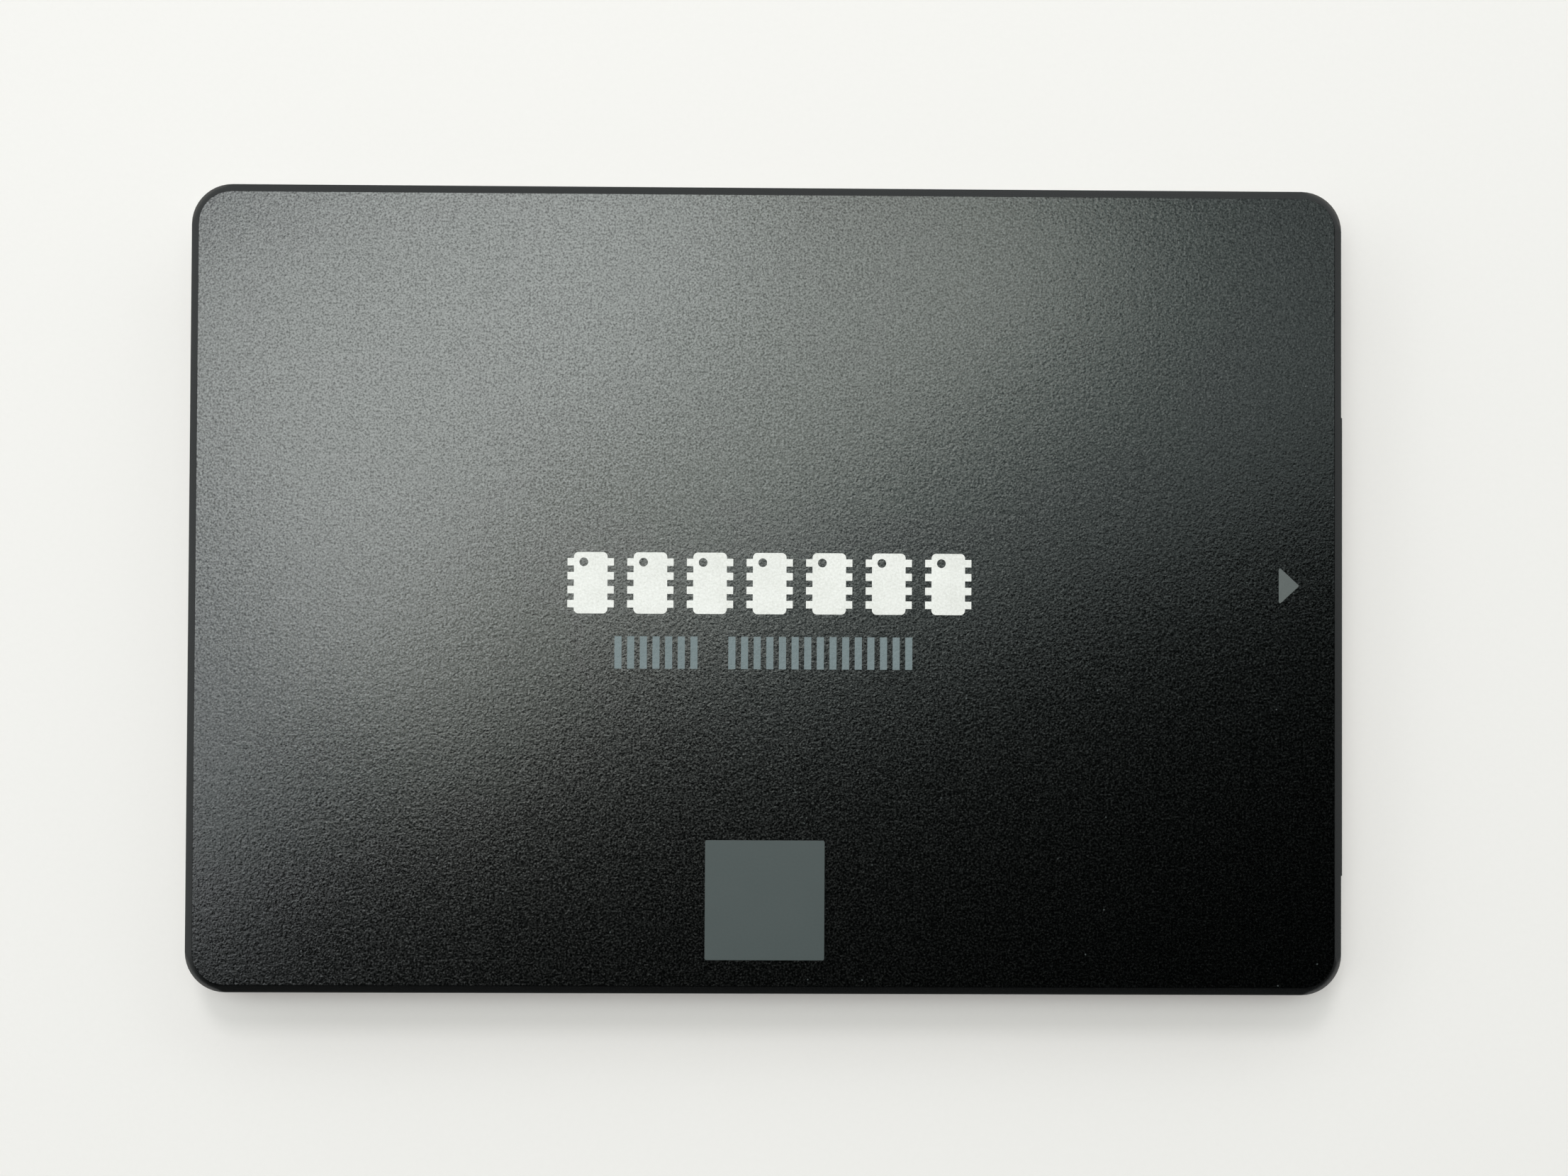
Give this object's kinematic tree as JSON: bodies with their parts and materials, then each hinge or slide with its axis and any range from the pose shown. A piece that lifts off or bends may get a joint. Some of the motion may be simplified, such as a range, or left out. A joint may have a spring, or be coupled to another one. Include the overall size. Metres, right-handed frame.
{
  "type": "solid state drive",
  "caption": "Flat rectangular storage drive in a black two-part metal case, with a data and power plug in one end and threaded mounting holes in its sides and underside.",
  "frame": {"origin": "middle of the underside: centre of the bounding box in X and Y, and the plane the drive rests on in Z", "axes": "+X towards the end with the plug, +Z up through the printed top face, +Y towards the side where the data contacts are (seen from above with the plug to the right, +Y is up)"},
  "size_m": [0.1, 0.0698, 0.0068],
  "materials": {
    "case_paint": "satin black paint with a fine sand grain over aluminium",
    "screw_steel": "zinc plated steel",
    "label_film": "matt dark film",
    "label_ink": "light grey ink",
    "white_ink": "white pad-printed ink",
    "light_grey_ink": "blue-grey pad-printed ink",
    "grey_ink": "grey pad-printed ink",
    "slate_ink": "smooth slate grey ink",
    "board": "green solder resist over glass-fibre laminate",
    "plug_plastic": "black moulded plastic",
    "gold_plate": "gold plated copper alloy",
    "tin_plate": "tin plated steel",
    "substrate": "package substrate",
    "lid_metal": "nickel plated lid",
    "solder": "solder",
    "chip_mould": "black epoxy moulding compound",
    "ferrite": "pressed ferrite",
    "fuse_body": "green fuse body",
    "tantalum_body": "yellow epoxy body",
    "capacitor_ceramic": "tan ceramic",
    "resistor_body": "black film on ceramic",
    "thermal_pad": "soft silicone pad"
  },
  "bodies": {
    "root": {"bottom_case": "case_paint", "top_cover": "case_paint", "case_screw_front_left": "screw_steel", "case_screw_front_right": "screw_steel", "case_screw_rear": "screw_steel", "rating_label": "label_film", "label_print": "label_ink", "emblem_mark": "white_ink", "contact_row_mark": "light_grey_ink", "square_mark": "slate_ink", "arrow_mark": "grey_ink", "circuit_board": "board", "plug_housing": "plug_plastic", "signal_contacts": "gold_plate", "power_contacts": "gold_plate", "board_locks": "tin_plate", "controller_package": "substrate", "controller_lid": "lid_metal", "controller_solder_balls": "solder", "dram_package": "chip_mould", "dram_solder_balls": "solder", "flash_package_1": "chip_mould", "flash_package_2": "chip_mould", "flash_package_3": "chip_mould", "flash_solder_balls": "solder", "power_chip": "chip_mould", "power_inductor_1": "ferrite", "power_inductor_2": "ferrite", "power_inductor_3": "ferrite", "crystal_oscillator": "tin_plate", "voltage_regulator": "chip_mould", "input_fuse": "fuse_body", "temperature_sensor": "chip_mould", "surge_diode": "chip_mould", "bulk_capacitors": "tantalum_body", "ceramic_capacitors": "capacitor_ceramic", "chip_resistors": "resistor_body", "controller_thermal_pad": "thermal_pad", "flash_thermal_pad": "thermal_pad", "test_points": "gold_plate"}
  },
  "joints": []
}
